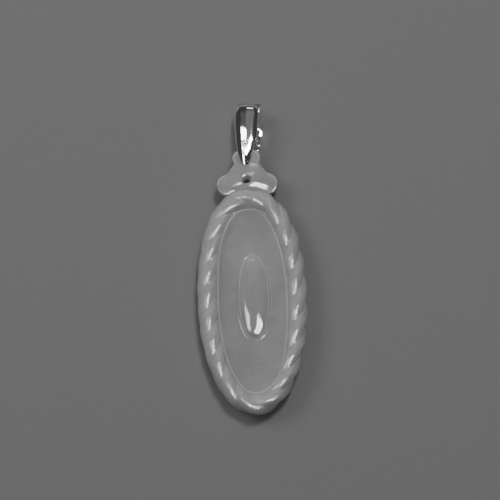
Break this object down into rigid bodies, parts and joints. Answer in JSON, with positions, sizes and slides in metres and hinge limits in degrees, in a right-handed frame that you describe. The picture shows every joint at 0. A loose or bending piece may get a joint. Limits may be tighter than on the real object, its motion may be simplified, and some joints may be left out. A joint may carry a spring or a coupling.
{
  "type": "jade pendant",
  "caption": "Long oval jade pendant with a twisted rope border, a raised cabochon, a lobed drilled finial and a swinging silver bail.",
  "frame": {"origin": "middle of the oval on the stone's flat back", "axes": "+Y along the pendant towards the bail, +Z out of the carved face, +X to the right as seen from above"},
  "size_m": [0.0172, 0.0478, 0.0049],
  "materials": {
    "jade": "polished",
    "silver": "polished"
  },
  "bodies": {
    "stone": {"jade": "jade"},
    "bail": {"bail": "silver"}
  },
  "joints": [
    {"name": "bail_swing", "type": "hinge", "parent": "stone", "child": "bail", "pos_m": [-0.00017, 0.0215, 0.00255], "axis": [0, 0, 1], "range_deg": [-69, 81]}
  ]
}
